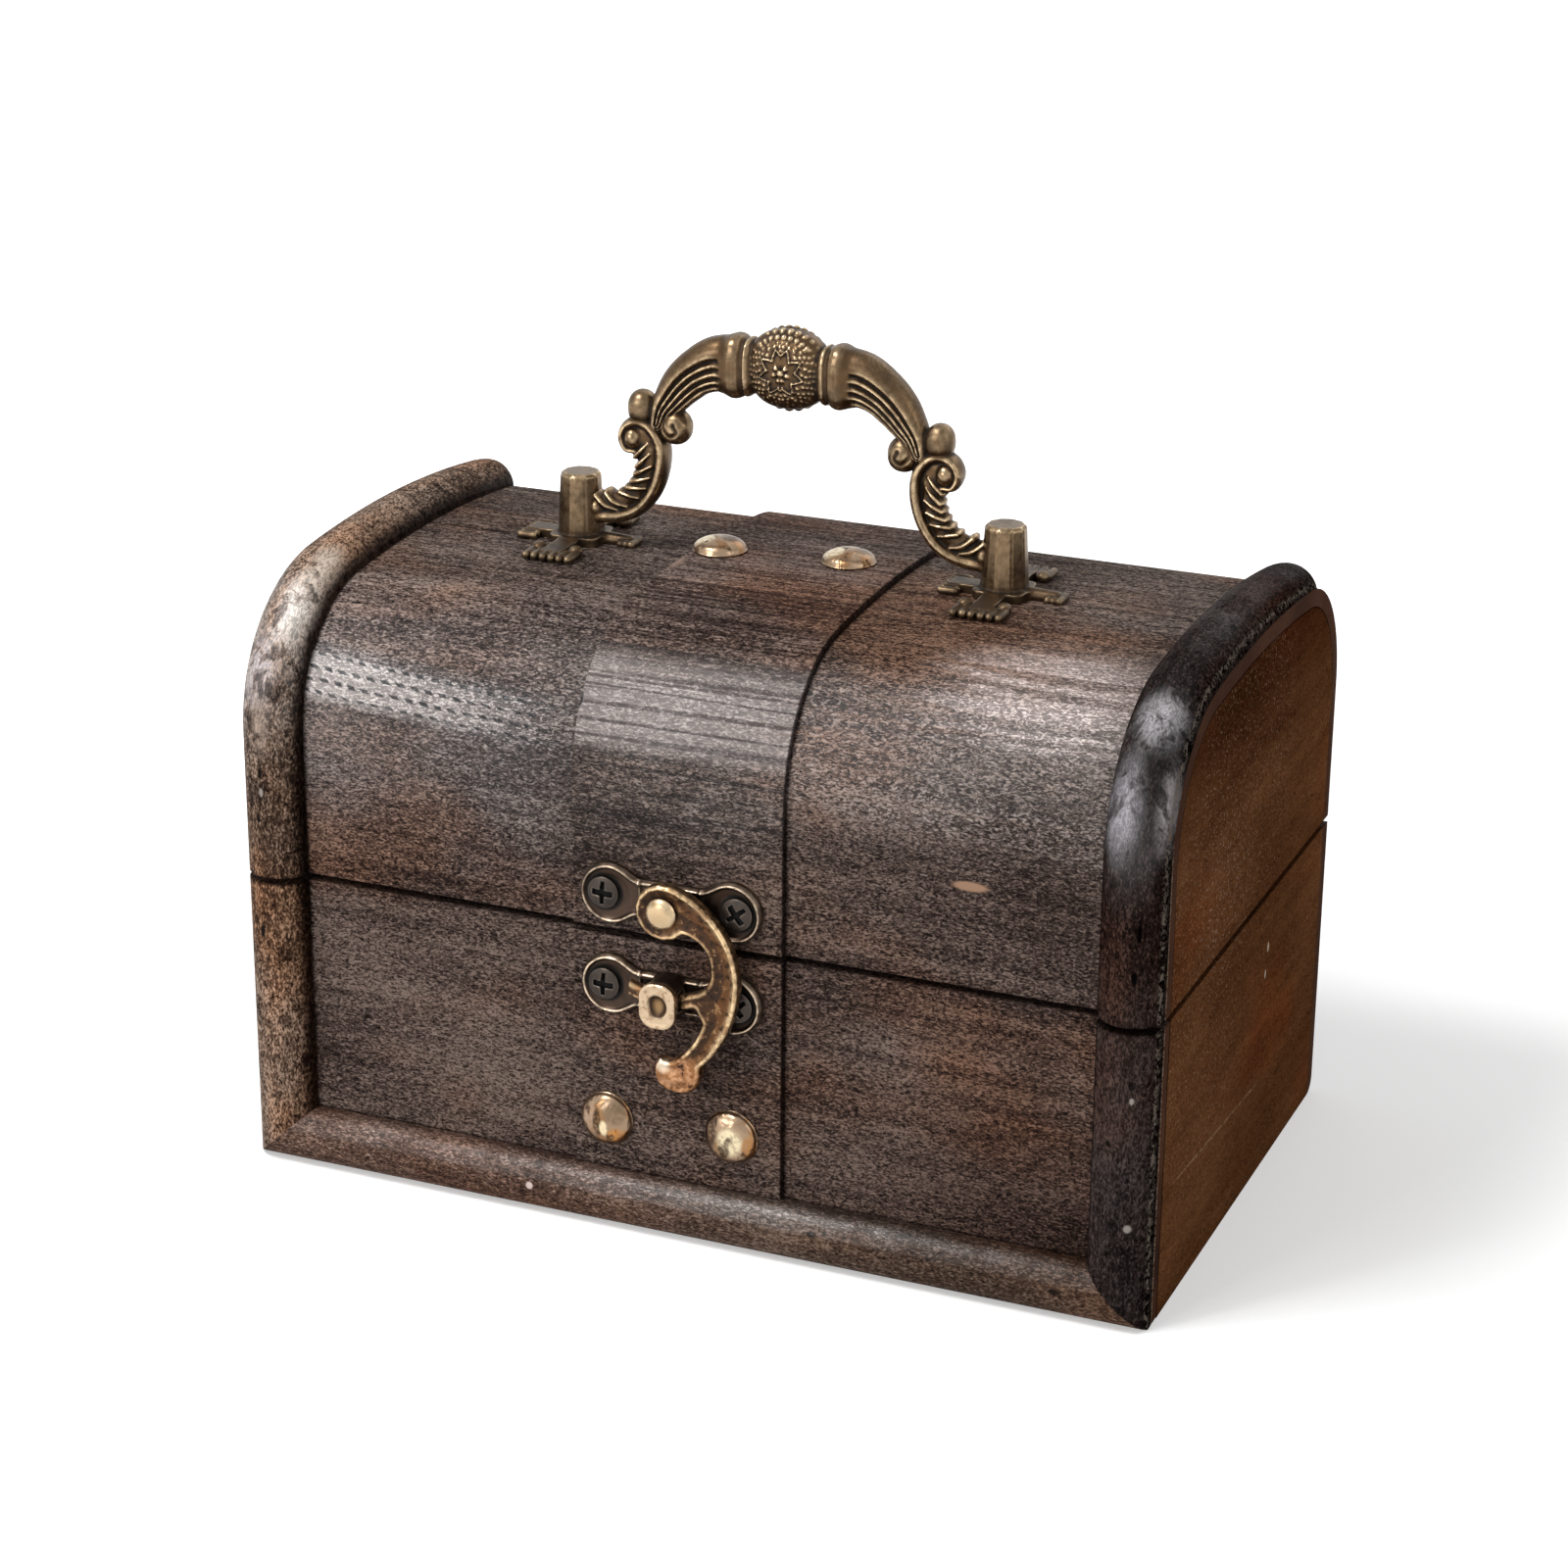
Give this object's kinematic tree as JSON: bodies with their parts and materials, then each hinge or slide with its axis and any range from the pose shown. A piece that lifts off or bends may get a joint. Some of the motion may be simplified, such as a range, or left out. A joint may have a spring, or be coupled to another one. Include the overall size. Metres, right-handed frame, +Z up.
{
  "type": "treasure chest box",
  "caption": "Small wooden treasure chest with a domed hinged lid, half-round front mouldings, a centre strap, a swinging hook latch and a cast carry handle on top.",
  "frame": {"origin": "on the underside, in the middle between the two end boards' faces and between the front and back panels", "axes": "+X to the right along the front, +Y to the back, +Z up"},
  "size_m": [0.16, 0.1065, 0.1426],
  "materials": {
    "panel_wood": "stained thin plywood, brushed ripple grain, satin sheen",
    "end_wood": "stained solid wood, warmer and smoother than the skin",
    "inner_wood": "stained thin plywood, matt",
    "moulding_wood": "dark stain rubbed to light brown on the crowns",
    "dark_moulding_wood": "near-black stain with a grey gloss",
    "strap_wood": "stained thin wood, brushed ripple grain",
    "antique_brass": "dark in the recesses, rubbed bright on the edges",
    "dome_brass": "bright antique brass",
    "latch_bronze": "dark bronze with rubbed rims",
    "hinge_bronze": "dark bronze",
    "black_screw": "black oxide",
    "nail_steel": "plain steel"
  },
  "bodies": {
    "base": {"base_front_panel": "panel_wood", "base_back_panel": "panel_wood", "base_left_end": "end_wood", "base_right_end": "end_wood", "base_floor": "inner_wood", "base_bottom_moulding": "moulding_wood", "base_left_moulding": "moulding_wood", "base_right_moulding": "dark_moulding_wood", "base_strap": "strap_wood", "base_moulding_nails": "nail_steel", "base_dome_nails": "dome_brass", "lower_latch_plate": "latch_bronze", "lower_latch_screws": "black_screw", "left_hinge_base_leaf": "hinge_bronze", "right_hinge_base_leaf": "hinge_bronze", "hinge_pins": "nail_steel", "base_hinge_screws": "hinge_bronze"},
    "lid": {"lid_skin": "panel_wood", "lid_left_end": "end_wood", "lid_right_end": "end_wood", "lid_left_moulding": "moulding_wood", "lid_right_moulding": "dark_moulding_wood", "lid_strap": "strap_wood", "lid_moulding_nails": "nail_steel", "lid_dome_nails": "dome_brass", "upper_latch_plate": "latch_bronze", "upper_latch_screws": "black_screw", "latch_rivet": "latch_bronze", "left_hinge_lid_leaf": "hinge_bronze", "right_hinge_lid_leaf": "hinge_bronze", "lid_hinge_screws": "hinge_bronze", "handle_left_post": "antique_brass", "handle_right_post": "antique_brass", "handle_post_screws": "nail_steel", "handle_post_washers": "nail_steel"},
    "hook": {"latch_hook": "latch_bronze"},
    "handle": {"carry_handle": "antique_brass"}
  },
  "joints": [
    {"name": "lid_hinge", "type": "hinge", "parent": "base", "child": "lid", "pos_m": [0, 0.04926, 0.0522], "axis": [-1, 0, 0], "range_deg": [0, 105]},
    {"name": "hook_swing", "type": "hinge", "parent": "lid", "child": "hook", "pos_m": [-0.002, -0.0522, 0.0589], "axis": [0, -1, 0], "range_deg": [0, 100]},
    {"name": "handle_swing", "type": "hinge", "parent": "lid", "child": "handle", "pos_m": [-0.0028, 0, 0.1076], "axis": [1, 0, 0], "range_deg": [-90, 90]}
  ]
}
